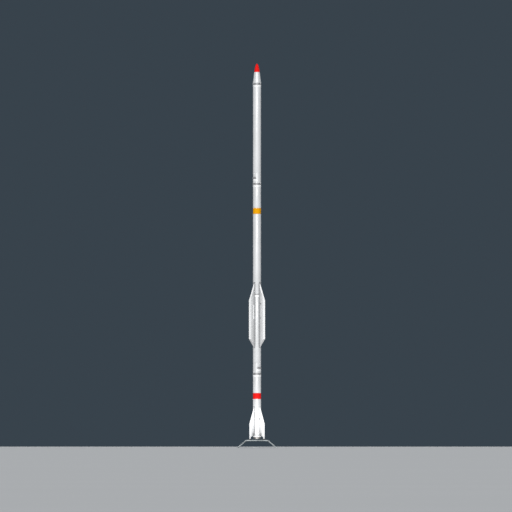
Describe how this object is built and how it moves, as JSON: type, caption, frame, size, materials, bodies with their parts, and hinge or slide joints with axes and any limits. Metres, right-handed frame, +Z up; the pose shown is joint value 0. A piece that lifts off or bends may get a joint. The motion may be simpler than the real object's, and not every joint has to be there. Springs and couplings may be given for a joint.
{
  "type": "space rocket",
  "caption": "Tall slender space rocket with white body, red nose tip, orange and red bands, mid and tail fins, stage joints and hatches, standing on a low open launch table.",
  "frame": {"origin": "centre of the launch table's base plate, on the ground, below the rocket's axis", "axes": "+Z up the rocket's axis; the front, with both hatches, faces -Y; +X to the right seen from the front"},
  "size_m": [2.2548, 2.2548, 21.136],
  "materials": {
    "white_paint": "gloss",
    "red_paint": "gloss",
    "orange_paint": "gloss",
    "flange_metal": "satin",
    "clamp_metal": "satin",
    "hatch_metal": "satin",
    "nozzle_metal": "satin",
    "table_steel": "satin",
    "shoe_steel": "matte"
  },
  "bodies": {
    "booster": {"table_top": "table_steel", "table_frame": "table_steel", "table_base": "table_steel", "table_leg_1": "table_steel", "table_leg_2": "table_steel", "table_leg_3": "table_steel", "table_leg_4": "table_steel", "support_shoe_1": "shoe_steel", "support_shoe_2": "shoe_steel", "support_shoe_3": "shoe_steel", "support_shoe_4": "shoe_steel", "booster_nozzle": "nozzle_metal", "booster_case": "white_paint", "booster_red_band": "red_paint", "booster_interstage": "white_paint", "booster_flange_ring": "flange_metal", "booster_clamp_ring": "clamp_metal", "tail_fin_1": "white_paint", "tail_fin_2": "white_paint", "tail_fin_3": "white_paint", "tail_fin_4": "white_paint"},
    "sustainer": {"sustainer_nozzle": "nozzle_metal", "sustainer_aft_skirt": "white_paint", "sustainer_aft_case": "white_paint", "sustainer_mid_ring": "clamp_metal", "sustainer_forward_case": "white_paint", "sustainer_orange_band": "orange_paint", "sustainer_interstage": "white_paint", "sustainer_flange_ring": "flange_metal", "sustainer_clamp_ring": "clamp_metal", "mid_fin_1": "white_paint", "mid_fin_2": "white_paint", "mid_fin_3": "white_paint", "mid_fin_4": "white_paint"},
    "service_hatch": {"service_hatch": "hatch_metal"},
    "upper_stage": {"upper_nozzle": "nozzle_metal", "upper_aft_skirt": "white_paint", "upper_case": "white_paint", "upper_flange_ring": "flange_metal", "upper_clamp_ring": "clamp_metal"},
    "payload_hatch": {"payload_hatch": "hatch_metal"},
    "nose": {"nose_cone": "white_paint", "nose_tip": "red_paint"}
  },
  "joints": [
    {"name": "first_stage_separation", "type": "slide", "parent": "booster", "child": "sustainer", "axis": [0, 0, 1], "range_m": [0, 0.5]},
    {"name": "second_stage_separation", "type": "slide", "parent": "sustainer", "child": "upper_stage", "axis": [0, 0, 1], "range_m": [0, 0.5]},
    {"name": "nose_separation", "type": "slide", "parent": "upper_stage", "child": "nose", "axis": [0, 0, 1], "range_m": [0, 0.3]},
    {"name": "service_hatch_hinge", "type": "hinge", "parent": "sustainer", "child": "service_hatch", "pos_m": [0.22747, -0.01557, 4.4], "axis": [0, 0, 1], "range_deg": [0, 100]},
    {"name": "payload_hatch_hinge", "type": "hinge", "parent": "upper_stage", "child": "payload_hatch", "pos_m": [-0.22747, -0.01557, 14.85], "axis": [0, 0, -1], "range_deg": [0, 100]}
  ]
}
